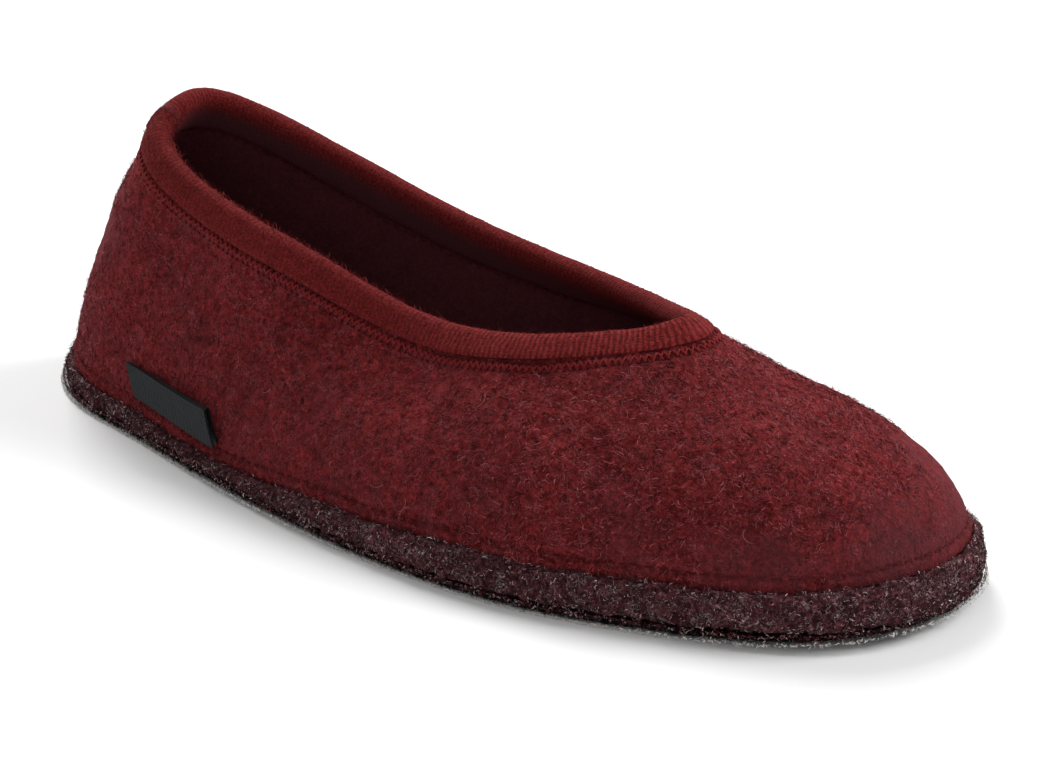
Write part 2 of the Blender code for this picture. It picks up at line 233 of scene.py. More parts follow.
def middle_of_last():
    """Point of the table's frame that lies over the origin."""
    places = np.linspace(0, 1, GUIDE_PLACES, endpoint=False)
    foot = stave_points(places, 0.0)
    edge = foot[:, :2] + lip(foot[:, 0])[:, None] * foot_out(places)
    middle = (edge.min(axis=0) + edge.max(axis=0)) / 2
    return np.array([middle[0], middle[1], 0.0])


MIDDLE = middle_of_last()


class WallGuide:
    """The outer wall as a fine grid: places around it by levels from seam to rim."""

    def __init__(self):
        places = np.linspace(0, 1, GUIDE_PLACES, endpoint=False)
        shares = np.linspace(0, 1, GUIDE_LEVELS)
        self.points = np.stack([stave_points(places, s) - MIDDLE for s in shares])
        around = np.roll(self.points, -1, axis=1) - np.roll(self.points, 1, axis=1)
        along = np.gradient(self.points, axis=0)
        self.around = around / np.linalg.norm(around, axis=2)[:, :, None]
        self.along = along / np.linalg.norm(along, axis=2)[:, :, None]
        normals = np.cross(self.around, self.along)
        self.normals = normals / np.linalg.norm(normals, axis=2)[:, :, None]
        steps = np.linalg.norm(np.diff(self.points, axis=0), axis=2)
        self.from_seam = np.concatenate([np.zeros((1, GUIDE_PLACES)), np.cumsum(steps, axis=0)])
        hops = np.linalg.norm(np.roll(self.points, -1, axis=1) - self.points, axis=2)
        runs = np.concatenate([np.zeros((GUIDE_LEVELS, 1)), np.cumsum(hops, axis=1)], axis=1)
        self.seam_run = runs[0]
        self.rim_run = runs[-1]
        self.tree = KDTree(GUIDE_PLACES * GUIDE_LEVELS)
        for i, point in enumerate(self.points.reshape(-1, 3)):
            self.tree.insert(point, i)
        self.tree.balance()

    def read(self, points):
        """Place around, distances from seam and rim and how far outside, for points."""
        found = np.array([self.tree.find(p)[1] for p in points])
        level, column = found // GUIDE_PLACES, found % GUIDE_PLACES
        apart = points - self.points[level, column]
        hop = np.linalg.norm(self.points[level, (column + 1) % GUIDE_PLACES]
                             - self.points[level, column], axis=1)
        place = column + (apart * self.around[level, column]).sum(axis=1) / hop
        seam = self.from_seam[level, column] + (apart * self.along[level, column]).sum(axis=1)
        out = (apart * self.normals[level, column]).sum(axis=1)
        return place, seam, self.from_seam[-1, column] - seam, out

    def reach(self, column, from_seam):
        """Point and normal of the wall in one column, at a distance from the seam."""
        level = np.interp(from_seam, self.from_seam[:, column], np.arange(GUIDE_LEVELS))
        low = min(int(level), GUIDE_LEVELS - 2)
        blend = level - low
        return [grid[low, column] * (1 - blend) + grid[low + 1, column] * blend
                for grid in (self.points, self.normals)]

    def spot(self, place, from_seam):
        """Point of the wall at a share of the way round and a distance from the seam."""
        return self.reach(int(round(place * GUIDE_PLACES)) % GUIDE_PLACES, from_seam)[0]

    def line(self, from_seam=None, from_rim=None, out=0.0):
        """Points and normals of a closed line at one distance from the seam or the rim."""
        found = [self.reach(column, from_seam if from_rim is None else height - from_rim)
                 for column, height in enumerate(self.from_seam[-1])]
        points, normals = (np.array(part) for part in zip(*found))
        normals = normals / np.linalg.norm(normals, axis=1)[:, None]
        return points + out * normals, normals

    def run(self, place, runs):
        """Length along the seam or the rim up to each place."""
        return np.interp(np.mod(place, GUIDE_PLACES), np.arange(GUIDE_PLACES + 1), runs)


GUIDE = WallGuide()


# Colours and nodes

def linear(code):
    """Linear red, green and blue of an sRGB hex colour."""
    parts = [int(code[i:i + 2], 16) / 255 for i in (1, 3, 5)]
    return tuple(p / 12.92 if p <= 0.04045 else ((p + 0.055) / 1.055) ** 2.4 for p in parts)


def scale_for(size_mm):
    """Texture scale that makes a pattern's features about size_mm across."""
    return 1.0 / (size_mm * MM)


def add_node(tree, kind, links=None, stops=None, **settings):
    """Adds a node, sets its properties and inputs, links sockets and fills a colour ramp."""
    node = tree.nodes.new(kind)
    for key, value in settings.items():
        setattr(node, key, value)
    if stops:
        ramp = node.color_ramp
        while len(ramp.elements) < len(stops):
            ramp.elements.new(0.5)
        for element, (place, colour) in zip(ramp.elements, stops):
            element.position = place
            element.color = (*colour, 1.0)
    for key, value in (links or {}).items():
        if isinstance(value, bpy.types.NodeSocket):
            tree.links.new(value, node.inputs[key])
        else:
            node.inputs[key].default_value = value
    return node


def compute(tree, operation, *values):
    """Result of one sum on sockets or numbers."""
    return add_node(tree, "ShaderNodeMath", dict(enumerate(values)), operation=operation).outputs[0]


def noise(tree, place, size_mm, detail, seed=None, **inputs):
    """Cloud of values with features about size_mm across; each seed gives another cloud."""
    inputs.update({"Vector": place, "Scale": scale_for(size_mm), "Detail": detail})
    if seed is None:
        return add_node(tree, "ShaderNodeTexNoise", inputs).outputs["Fac"]
    inputs["W"] = seed
    return add_node(tree, "ShaderNodeTexNoise", inputs, noise_dimensions="4D").outputs["Fac"]


def remap(tree, value, low, high, to_low=0.0, to_high=1.0, kind="LINEAR"):
    """A value carried from one range to another and held at its ends."""
    return add_node(tree, "ShaderNodeMapRange",
                    {"Value": value, "From Min": low, "From Max": high,
                     "To Min": to_low, "To Max": to_high}, interpolation_type=kind).outputs["Result"]


def ramp(tree, value, *stops):
    """A value turned into a colour by a ramp of places and colours."""
    return add_node(tree, "ShaderNodeValToRGB", {"Fac": value}, stops=stops).outputs["Color"]


def mix(tree, share, first, second, kind="MIX"):
    """Two colours mixed by a share."""
    return add_node(tree, "ShaderNodeMix", {0: share, 6: first, 7: second},
                    data_type="RGBA", blend_type=kind).outputs[2]


def object_place(tree):
    return add_node(tree, "ShaderNodeTexCoord").outputs["Object"]


def stored(tree, name):
    """The number that the piece's vertices carry under a name."""
    return add_node(tree, "ShaderNodeAttribute", attribute_name=name).outputs["Fac"]


def mapped(tree, name):
    """Run along the wall and distance across it, in metres, from a UV map."""
    uv = add_node(tree, "ShaderNodeUVMap", uv_map=name)
    parts = add_node(tree, "ShaderNodeSeparateXYZ", {0: uv.outputs["UV"]})
    return parts.outputs["X"], parts.outputs["Y"]


def dye(name, share=1.0):
    """One of the add-on's colours, made darker or lighter by a share."""
    return tuple(share * v for v in getattr(bpy.context.scene.slipper_colours, name))


def new_material(name, roughness, sheen=0.0, sheen_tint="#ffffff", sheen_roughness=0.4, gloss=0.1):
    """A material with its Principled shader, the numbers set on the shader's own sockets."""
    material = bpy.data.materials.new(name)
    material.use_nodes = True
    tree = material.node_tree
    shader = tree.nodes["Principled BSDF"]
    shader.inputs["Roughness"].default_value = roughness
    shader.inputs["Specular IOR Level"].default_value = gloss
    shader.inputs["Sheen Weight"].default_value = sheen
    shader.inputs["Sheen Roughness"].default_value = sheen_roughness
    shader.inputs["Sheen Tint"].default_value = (*linear(sheen_tint), 1.0)
    return material, tree, shader


def felt_material(name, dark, middle, light, fibre, crumb_mm, sheen, sheen_tint, fibre_share=1.0):
    """Felted wool: crumbs of matted fibre, a slow heather and curled hairs of a lighter dye."""
    material, tree, shader = new_material(name, 0.95, sheen, sheen_tint, 0.45)
    place = object_place(tree)
    heather = noise(tree, place, 9, 4.0, Roughness=0.65)
    crumb = noise(tree, place, crumb_mm, 4.0, Roughness=0.62, Distortion=0.7)
    grain = noise(tree, place, 0.6, 3.0, Roughness=0.8)
    # Colour follows the crumb cloud that also raises the bump, and the fine grain does the same: darker in
    # their hollows and lighter on their tops, partly the wool's own mottle, partly painted shade and
    # painted light
    blend = compute(tree, "MULTIPLY_ADD", heather, 0.28, compute(tree, "MULTIPLY", crumb, 0.72))
    ground = ramp(tree, blend, (0.37, dark), (0.50, middle), (0.64, light))
    colour = mix(tree, 1.0, ground, remap(tree, grain, 0.32, 0.68, 0.42, 1.6), "MULTIPLY")
    height = crumb
    # Contours of a smooth noise are curled lines, as wide as the hairs have to show
    for seed, size_mm in ((3.1, 1.8), (7.7, 1.1)):
        curls = noise(tree, place, size_mm, 1.5, seed, Distortion=1.4)
        off = compute(tree, "ABSOLUTE", compute(tree, "SUBTRACT", curls, 0.5))
        hair = remap(tree, off, 0.006, 0.03, 0.5 * fibre_share, 0.0)
        keep = remap(tree, noise(tree, place, 3.5, 1.0, seed), 0.48, 0.62)
        share = compute(tree, "MULTIPLY", hair, keep)
        colour = mix(tree, share, colour, (*fibre, 1.0))
        height = compute(tree, "MULTIPLY_ADD", share, 0.35, height)
    height = compute(tree, "MULTIPLY_ADD", grain, 0.35, height)
    return material, tree, shader, colour, height


def finish_felt(tree, shader, colour, height, relief_mm, strength=1.0):
    """Puts a colour and a height on the shader, with relief in millimetres."""
    bump = add_node(tree, "ShaderNodeBump",
                    {"Strength": strength, "Distance": relief_mm * MM, "Height": height})
    tree.links.new(bump.outputs["Normal"], shader.inputs["Normal"])
    tree.links.new(colour, shader.inputs["Base Color"])


# Making pieces

def only(piece):
    """Makes a piece the one selected and active object."""
    bpy.ops.object.select_all(action="DESELECT")
    piece.select_set(True)
    bpy.context.view_layer.objects.active = piece


def cad_copy(node, name, levels):
    """A merged copy of a CAD node, its quads restored, made smooth by subdivision."""
    piece = bpy.data.objects.new(name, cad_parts[node].data.copy())
    piece.data.name = name
    bpy.context.scene.collection.objects.link(piece)
    piece.data.materials.clear()
    only(piece)
    bpy.ops.mesh.customdata_custom_splitnormals_clear()
    bpy.ops.object.mode_set(mode="EDIT")
    bpy.ops.mesh.select_all(action="SELECT")
    bpy.ops.mesh.remove_doubles(threshold=0.01 * MM)
    bpy.ops.mesh.tris_convert_to_quads(face_threshold=math.radians(50), shape_threshold=math.radians(60))
    bpy.ops.object.mode_set(mode="OBJECT")
    if levels:
        smooth = piece.modifiers.new("smooth", "SUBSURF")
        smooth.levels = levels
        smooth.render_levels = levels
        bpy.ops.object.modifier_apply(modifier=smooth.name)
    bpy.ops.object.shade_smooth()
    return piece


def displace(piece, name, size_mm, height_mm, depth=1):
    """Lumps the surface along its normals with a soft cloud of one size."""
    cloud = bpy.data.textures.new(name, "CLOUDS")
    cloud.noise_scale = size_mm * MM
    cloud.noise_depth = depth
    only(piece)
    lump = piece.modifiers.new(name, "DISPLACE")
    lump.texture = cloud
    lump.texture_coords = "LOCAL"
    lump.mid_level = 0.5
    lump.strength = height_mm * MM
    bpy.ops.object.modifier_apply(modifier=lump.name)


def vertices(piece):
    """Places and normals of a piece's vertices."""
    count = len(piece.data.vertices)
    points = np.zeros(count * 3)
    normals = np.zeros(count * 3)
    piece.data.vertices.foreach_get("co", points)
    piece.data.vertices.foreach_get("normal", normals)
    return points.reshape(-1, 3), normals.reshape(-1, 3)


def set_vertices(piece, points):
    piece.data.vertices.foreach_set("co", points.ravel())
    piece.data.update()


def point_value(piece, name, values):
    """Stores one number for each vertex, for its material to read."""
    attribute = piece.data.attributes.new(name, "FLOAT", "POINT")
    attribute.data.foreach_set("value", np.asarray(values, dtype=np.float32))


def point_values(piece, name):
    """The numbers that a piece's vertices carry under a name."""
    values = np.zeros(len(piece.data.vertices), dtype=np.float32)
    piece.data.attributes[name].data.foreach_get("value", values)
    return values


def map_round(piece, name, places, runs, across):
    """A UV map in metres: run along the wall by distance across it, unbroken at the heel."""
    mesh = piece.data
    corner = np.zeros(len(mesh.loops), dtype=np.int32)
    mesh.loops.foreach_get("vertex_index", corner)
    starts = np.zeros(len(mesh.polygons), dtype=np.int32)
    mesh.polygons.foreach_get("loop_start", starts)
    counts = np.zeros(len(mesh.polygons), dtype=np.int32)
    mesh.polygons.foreach_get("loop_total", counts)
    u = np.interp(places, np.arange(GUIDE_PLACES + 1), runs)[corner]
    highest = np.repeat(np.maximum.reduceat(u, starts), counts)
    u = np.where(highest - u > runs[-1] / 2, u + runs[-1], u)
    layer = mesh.uv_layers.new(name=name)
    layer.data.foreach_set("uv", np.column_stack([u, across[corner]]).astype(np.float32).ravel())


def press(points, normals, line, depth_mm, width_mm):
    """Presses a soft trough along a line of points, or raises a ridge where depth is below 0."""
    apart = np.full(len(points), 1.0)
    for a, b in zip(line[:-1], line[1:]):
        way = b - a
        share = np.clip((points - a) @ way / (way @ way), 0, 1)
        apart = np.minimum(apart, np.linalg.norm(points - a - share[:, None] * way, axis=1))
    fall = np.exp(-(apart / (width_mm * MM)) ** 2)
    return points - normals * (fall * depth_mm * MM)[:, None]


def dress(piece, material, slot, *nodes):
    """Gives a piece its finish and its body, and hides the CAD nodes it stands for."""
    piece.data.materials.append(material)
    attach(piece, "root")
    if nodes:
        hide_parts(*nodes)


def new_piece(name, points, faces):
    """A smooth-shaded piece from points and faces."""
    mesh = bpy.data.meshes.new(name)
    mesh.from_pydata(points.tolist(), [], faces.tolist())
    mesh.shade_smooth()
    piece = bpy.data.objects.new(name, mesh)
    bpy.context.scene.collection.objects.link(piece)
    return piece


def scatter(piece, count, rng, keep=None):
    """Points and normals spread evenly over a piece's faces."""
    mesh = piece.data
    mesh.calc_loop_triangles()
    corners = np.zeros(len(mesh.loop_triangles) * 3, dtype=np.int32)
    mesh.loop_triangles.foreach_get("vertices", corners)
    corners = corners.reshape(-1, 3)
    points, normals = vertices(piece)
    if keep is not None:
        corners = corners[keep[corners].all(axis=1)]
    a, b, c = (points[corners[:, i]] for i in range(3))
    area = np.linalg.norm(np.cross(b - a, c - a), axis=1)
    chosen = rng.choice(len(corners), size=count, p=area / area.sum())
    u = np.sqrt(rng.random(count))[:, None]
    v = rng.random(count)[:, None]
    a, b, c = a[chosen], b[chosen], c[chosen]
    spot = a * (1 - u) + b * (u * (1 - v)) + c * (u * v)
    lean = normals[corners[chosen]].mean(axis=1)
    return spot, lean / np.linalg.norm(lean, axis=1)[:, None]


# Loose hairs: how many, their shortest and longest length and their width in mm, least and most
# rise over the surface as a share of length, curl, bends and how rare the palest tints are.
# Real wool is near 0.03 mm wide; these are wider, so that they show.
Hair = namedtuple("Hair", "count shortest longest width low high curl bends rare")
HAIRS = {
    "upper_nap_rear":    Hair(24500, 0.6, 1.8, 0.14, 0.00, 0.55, 1.9, 3, 1.6),
    "upper_nap_front":   Hair(24500, 0.6, 2.2, 0.14, 0.00, 0.55, 1.9, 3, 1.6),
    "standing_fuzz":     Hair(10000, 0.7, 1.8, 0.08, 0.80, 1.20, 0.8, 2, 1.0),
    "stray_hairs_front": Hair(900, 1.2, 4.2, 0.08, 0.05, 0.35, 2.6, 9, 2.2),
    "stray_hairs_rear":  Hair(350, 1.2, 4.2, 0.08, 0.05, 0.35, 2.6, 9, 2.2),
    "binding_nap_near":  Hair(16000, 0.3, 1.2, 0.10, 0.10, 0.80, 1.5, 2, 1.6),
    "binding_nap_far":   Hair(5000, 0.3, 0.8, 0.10, 0.10, 0.80, 1.5, 2, 1.6),
    "crest_fuzz":        Hair(3400, 0.8, 2.2, 0.09, 0.60, 1.10, 1.0, 3, 1.6),
    "sole_hairs":        Hair(23000, 0.4, 1.1, 0.15, 0.05, 0.90, 2.2, 3, 2.4),
    "seam_fuzz":         Hair(3600, 0.4, 1.3, 0.12, 0.20, 0.80, 1.8, 3, 1.8),
    "tread":             Hair(16500, 0.3, 0.9, 0.15, 0.10, 0.60, 1.8, 3, 1.6),
}
HAIR_CLEARANCE = 0.05 * MM


def hairs(name, kind, roots, ups, rng):
    """Curled wool hairs: thin ribbons that leave the surface, each with a tint, fewer of them pale."""
    hair = HAIRS[kind]
    count = len(roots)
    spin = rng.normal(size=(count, 3))
    side = np.cross(ups, spin)
    side /= np.linalg.norm(side, axis=1)[:, None]
    cross = np.cross(ups, side)
    length = (hair.shortest + (hair.longest - hair.shortest) * rng.random(count) ** 2) * MM
    rise = hair.low + (hair.high - hair.low) * rng.random(count)
    turn = hair.curl * rng.normal(size=count)
    width = (hair.width * MM * (0.6 + 0.8 * rng.random(count)))[:, None] / 2
    rows = []
    for k in range(hair.bends + 1):
        t = k / hair.bends
        angle = turn * t
        flat = side * np.cos(angle)[:, None] + cross * np.sin(angle)[:, None]
        high = rise * t * (1.15 - 0.45 * t)
        where = roots + flat * (length * t)[:, None] + ups * (length * high)[:, None]
        across = np.cross(flat, ups) * 0.8 + ups * 0.6
        across /= np.linalg.norm(across, axis=1)[:, None]
        taper = 1.0 if k < hair.bends else 0.35
        rows.append(where - across * width * taper)
        rows.append(where + across * width * taper)
    points = np.stack(rows, axis=1).reshape(-1, 3)
    points[:, 2] = np.maximum(points[:, 2], HAIR_CLEARANCE)
    per = 2 * (hair.bends + 1)
    first = (np.arange(count) * per)[:, None]
    faces = [first + np.array([2 * k, 2 * k + 1, 2 * k + 3, 2 * k + 2]) for k in range(hair.bends)]
    piece = new_piece(name, points, np.concatenate(faces))
    point_value(piece, "tint", np.repeat(rng.random(count) ** hair.rare, per))
    return piece


def nap(name, piece, rng, shown, sunk_mm=0.0):
    """Hairs spread over the shown part of a piece, their roots sunk a little."""
    roots, ups = scatter(piece, HAIRS[name].count, rng, shown)
    return hairs(name, name, roots - ups * sunk_mm * MM, ups, rng)


def hair_material(name, low, middle, high, sheen=0.12):
    """Loose wool hair: reads as single matte fibres, from the dye's dark to its palest tint."""
    material, tree, shader = new_material(name, 0.9, sheen, "#c88088", 0.4)
    colour = ramp(tree, stored(tree, "tint"), (0.0, low), (0.6, middle), (1.0, high))
    tree.links.new(colour, shader.inputs["Base Color"])
    return material


def evenly(points, normals, pitch):
    """Points, normals and directions along a closed line, one at each pitch."""
    ring = np.vstack([points, points[:1]])
    runs = np.concatenate([[0.0], np.cumsum(np.linalg.norm(np.diff(ring, axis=0), axis=1))])
    count = max(3, int(round(runs[-1] / pitch)))
    at = (np.arange(count) + 0.5) * runs[-1] / count
    closed = np.vstack([normals, normals[:1]])
    spots = np.column_stack([np.interp(at, runs, ring[:, i]) for i in range(3)])
    outs = np.column_stack([np.interp(at, runs, closed[:, i]) for i in range(3)])
    ahead = np.mod(at + pitch * 0.2, runs[-1])
    after = np.column_stack([np.interp(ahead, runs, ring[:, i]) for i in range(3)])
    ways = after - spots
    ways /= np.linalg.norm(ways, axis=1)[:, None]
    outs /= np.linalg.norm(outs, axis=1)[:, None]
    return spots, outs, ways


STITCH_SIDES = 6
STITCH_RINGS = 5


def stitches(name, spots, outs, ways, rng, length_mm, width_mm, rise_mm, slant=0.0, jitter=0.15):
    """Thread stitches: one arched, round thread modelled once and copied along a seam."""
    arch = np.linspace(-1, 1, STITCH_RINGS)
    turn = np.linspace(0, 2 * math.pi, STITCH_SIDES, endpoint=False)
    one = []
    for a in arch:
        thick = width_mm / 2 * (1.0 if abs(a) < 0.9 else 0.55)
        for t in turn:
            one.append((a * length_mm / 2, thick * math.cos(t),
                        rise_mm * (1 - a * a) - rise_mm * 0.55 + thick * math.sin(t)))
    one = np.array(one) * MM
    sides = np.cross(outs, ways)
    runs = ways * math.cos(slant) + sides * math.sin(slant)
    beside = np.cross(outs, runs)
    count = len(spots)
    shift = ways * (rng.normal(size=count) * jitter * length_mm * 0.3 * MM)[:, None]
    stretch = 1 + jitter * rng.normal(size=count)[:, None, None]
    points = (spots + shift)[:, None, :] + runs[:, None, :] * one[None, :, :1] * stretch
    points = points + beside[:, None, :] * one[None, :, 1:2] + outs[:, None, :] * one[None, :, 2:3]
    quads = []
    for r in range(STITCH_RINGS - 1):
        for s in range(STITCH_SIDES):
            n = (s + 1) % STITCH_SIDES
            quads.append((r * STITCH_SIDES + s, r * STITCH_SIDES + n,
                          (r + 1) * STITCH_SIDES + n, (r + 1) * STITCH_SIDES + s))
    quads = np.array(quads)[:, ::-1]
    per = len(one)
    faces = (np.arange(count) * per)[:, None, None] + quads[None]
    return new_piece(name, points.reshape(-1, 3), faces.reshape(-1, 4))


def thread_material(name, share):
    """Spun sewing thread: reads as a matte twist, its grooves painted darker as shade."""
    material, tree, shader = new_material(name, 0.8, 0.12, "#c07070", 0.4)
    twist = add_node(tree, "ShaderNodeTexWave",
                     {"Vector": object_place(tree), "Scale": scale_for(0.9), "Distortion": 2.0},
                     bands_direction="DIAGONAL").outputs["Fac"]
    colour = dye("thread", share)
    groove = tuple(0.55 * v for v in colour)
    finish_felt(tree, shader, ramp(tree, twist, (0.0, groove), (1.0, colour)), twist, 0.1)
    return material


# The pieces

# Soft folds of the worn-in felt: places round the wall (0 is the back of the heel, the outer
# side first) with distances from the sole in mm, then depth and half width in mm
FOLDS = (
    (((0.075, 12), (0.095, 26), (0.110, 44)), 0.7, 5.0),
    (((0.165, 30), (0.200, 20), (0.235, 13)), 0.6, 6.0),
    (((0.270, 38), (0.300, 27), (0.325, 14)), 0.7, 6.5),
    (((0.360, 48), (0.375, 34), (0.395, 20)), 0.8, 6.0),
    (((0.420, 62), (0.445, 46), (0.470, 34)), -0.7, 9.0),
    (((0.040, 40), (0.010, 34), (0.975, 36)), 0.5, 6.0),
    (((0.300, 6), (0.360, 8), (0.430, 7)), -0.6, 5.0),
    (((0.690, 44), (0.720, 28), (0.740, 14)), 0.8, 7.0),
    (((0.830, 30), (0.860, 18), (0.880, 12)), 0.6, 6.0),
)

# Rows of needle holes: the map they are measured on, their pitch, the start of the row in
# radians, the row's middle and half width, all lengths in mm, and how dark their painted shade is
HEM_MM = BINDING_OUTER_LEG / MM
NEEDLE_HOLES = (
    ("rim_map", 1.7, 0.0, HEM_MM + 0.4, 0.55, 0.9),
    ("rim_map", 1.7, 3.1, HEM_MM + 2.6, 0.65, 0.9),
    ("seam_map", 3.1, 1.5, SOLE_STITCH_HEIGHT / MM, 1.2, 0.5),
)


def shape_upper(piece):
    """Lumps, folds and puckers of the felt; returns where each vertex lies on the wall."""
    points, _ = vertices(piece)
    _, seam, _, out = GUIDE.read(points)
    # The strip by the sole has small puckers, so it gets finer faces
    strip = (seam < 6 * MM) & (out > -0.3 * WALL)
    for vertex, chosen in zip(piece.data.vertices, strip):
        vertex.select = bool(chosen)
    for face in piece.data.polygons:
        face.select = all(strip[v] for v in face.vertices)
    only(piece)
    bpy.ops.object.mode_set(mode="EDIT")
    bpy.ops.mesh.select_mode(type="FACE")
    bpy.ops.mesh.subdivide(number_cuts=1)
    bpy.ops.object.mode_set(mode="OBJECT")
    displace(piece, "wide lumps", 20, 0.9, 0)
    displace(piece, "crumbs", 3.4, 1.0, 2)
    points, normals = vertices(piece)
    place, seam, rim, out = GUIDE.read(points)
    outside = np.clip(1 + out / (0.5 * WALL), 0, 1)
    for line, depth, width in FOLDS:
        spots = [GUIDE.spot(p, d * MM) for p, d in line]
        moved = press(points, normals, spots, depth, width)
        points = points + (moved - points) * outside[:, None]
    # The seam holds the felt down, and it swells between the seam and the stitches
    run = GUIDE.run(place, GUIDE.seam_run)
    pucker = 0.5 + 0.5 * np.sin(2 * math.pi * run / (3.1 * MM) + 2.0 * np.sin(run / (11 * MM)))
    wander = (0.35 * np.sin(run / (5.2 * MM)) + 0.3 * np.sin(run / (2.3 * MM))) * MM
    swell = np.exp(-((seam - 1.3 * MM) / (1.1 * MM)) ** 2) * outside
    groove = np.exp(-((seam - SOLE_STITCH_HEIGHT - wander) / (0.9 * MM)) ** 2) * outside
    hem = np.exp(-((rim - BINDING_OUTER_LEG - 2.6 * MM) / (0.9 * MM)) ** 2) * outside
    rise = swell * (0.1 + 0.7 * pucker) - groove * (0.15 + 0.5 * pucker) - 0.2 * hem
    set_vertices(piece, points + normals * (rise * MM)[:, None])
    return place, seam, rim, outside


def needle_holes(tree, colour, height):
    """Pits in a row along the binding, and fewer above the sole, pressed in and painted dark as shade."""
    for uv_map, pitch, start, middle, reach, depth in NEEDLE_HOLES:
        run, across = mapped(tree, uv_map)
        phase = compute(tree, "MULTIPLY_ADD", run, 2 * math.pi / (pitch * MM), start)
        pits = remap(tree, compute(tree, "SINE", phase), -0.3, 0.8, 0.05, 1.0, "SMOOTHSTEP")
        off = compute(tree, "ABSOLUTE", compute(tree, "SUBTRACT", across, middle * MM))
        band = remap(tree, off, 0.0, reach * MM, depth, 0.0, "SMOOTHSTEP")
        dip = compute(tree, "MULTIPLY", band, pits)
        # Painted shade: each pit is darkened toward a deep felt colour
        colour = mix(tree, dip, colour, (*dye("felt_dark", 0.22), 1.0))
        height = compute(tree, "MULTIPLY_ADD", dip, -1.0, height)
    return colour, height


def make_upper():
    piece = cad_copy("upper", "felt_upper", 2)
    place, seam, rim, outside = shape_upper(piece)
    point_value(piece, "from_seam", seam / MM)
    point_value(piece, "from_rim", rim / MM)
    point_value(piece, "outside", outside)
    map_round(piece, "seam_map", place, GUIDE.seam_run, seam)
    map_round(piece, "rim_map", place, GUIDE.rim_run, rim)
    # Boiled wool: reads as soft, dense and dull, with a pink edge of fuzz against the light
    material, tree, shader, colour, height = felt_material(
        "boiled wool felt", dye("felt_dark"), dye("felt_middle"), dye("felt_light"),
        dye("felt_hair"), 1.4, 0.34, "#d05c66")
    colour, height = needle_holes(tree, colour, height)
    # Painted shade: the felt inside the slipper is darkened toward the inside colour
    inner = remap(tree, stored(tree, "outside"), 0.0, 1.0, 0.8, 0.0)
    colour = mix(tree, inner, colour, (*dye("inside"), 1.0))
    finish_felt(tree, shader, colour, height, 0.8)
    dress(piece, material, "upper", "upper")
    return piece


def make_upper_nap(upper):
    rng = np.random.default_rng(11)
    points, _ = vertices(upper)
    x = points[:, 0]
    shown = ((point_values(upper, "outside") > 0.6) & (point_values(upper, "from_rim") > HEM_MM + 2.6)
             & (point_values(upper, "from_seam") > -0.5))
    # Short nap: blurs the felt's crumbs as the real surface does
    wool = hair_material("loose burgundy wool", dye("felt_dark", 0.35), dye("felt_middle"),
                         dye("felt_light", 1.25), 0.16)
    for name, part in (("upper_nap_rear", x <= 0.01), ("upper_nap_front", x > 0.01)):
        dress(nap(name, upper, rng, shown & part, 0.1), wool, "upper")
    # Pale single hairs: catch the light along the outline and on the vamp
    pale = hair_material("stray pale wool", dye("felt_light"), dye("felt_hair"), linear("#b87277"), 0.1)
    # Rubbed wool stands up most at the heel's back and over the toes
    worn = shown & ((x > 0.03) | (x < -0.1) | (points[:, 1] > 0.01))
    for name, part in (("standing_fuzz", worn), ("stray_hairs_front", shown & (x > 0.02)),
                       ("stray_hairs_rear", shown & (x <= 0.02))):
        dress(nap(name, upper, rng, part), pale, "upper")


def knit_material():
    """Ribbed wool knit: reads as upright ribs at the front, and as dull fuzz elsewhere."""
    material, tree, shader = new_material("ribbed wool knit", 0.92, 0.2, "#c05050", 0.45)
    run, across = mapped(tree, "rib_map")
    place = object_place(tree)
    wobble = noise(tree, place, 3.0, 2.0)
    # Ribs stand across the strip and lean a little: one rib and one groove to each pitch
    along = compute(tree, "MULTIPLY_ADD", across, 0.08, run)
    along = compute(tree, "MULTIPLY_ADD", wobble, 1.3 * MM, along)
    pitch = bpy.context.scene.slipper_sizes.rib_pitch
    wave = compute(tree, "SINE", compute(tree, "MULTIPLY", along, 2 * math.pi / pitch))
    rib = compute(tree, "MULTIPLY", remap(tree, wave, -1.0, 0.8, kind="SMOOTHSTEP"), stored(tree, "clear"))
    # Stitches of the knit follow each rib like small beads
    beads = compute(tree, "SINE", compute(tree, "MULTIPLY", across, 2 * math.pi / (0.75 * MM)))
    grain = noise(tree, place, 0.55, 3.0, Roughness=0.8)
    height = compute(tree, "MULTIPLY_ADD", beads, 0.12, rib)
    height = compute(tree, "MULTIPLY_ADD", grain, 1.1, height)
    # Colour follows the ribs and the grain: painted shade in the grooves and painted light on the crests,
    # over the knit's own random tone
    shade = compute(tree, "MULTIPLY_ADD", rib, 0.2, compute(tree, "MULTIPLY", grain, 0.9))
    knit = ramp(tree, shade, (0.28, dye("knit_dark", 0.6)), (0.52, dye("knit_middle")),
                (0.78, dye("knit_light")))
    # Painted shade: darker toward the inside colour by the strip's shade value
    colour = mix(tree, stored(tree, "shade"), knit, (*dye("inside"), 1.0))
    finish_felt(tree, shader, colour, height, 0.3)
    return material


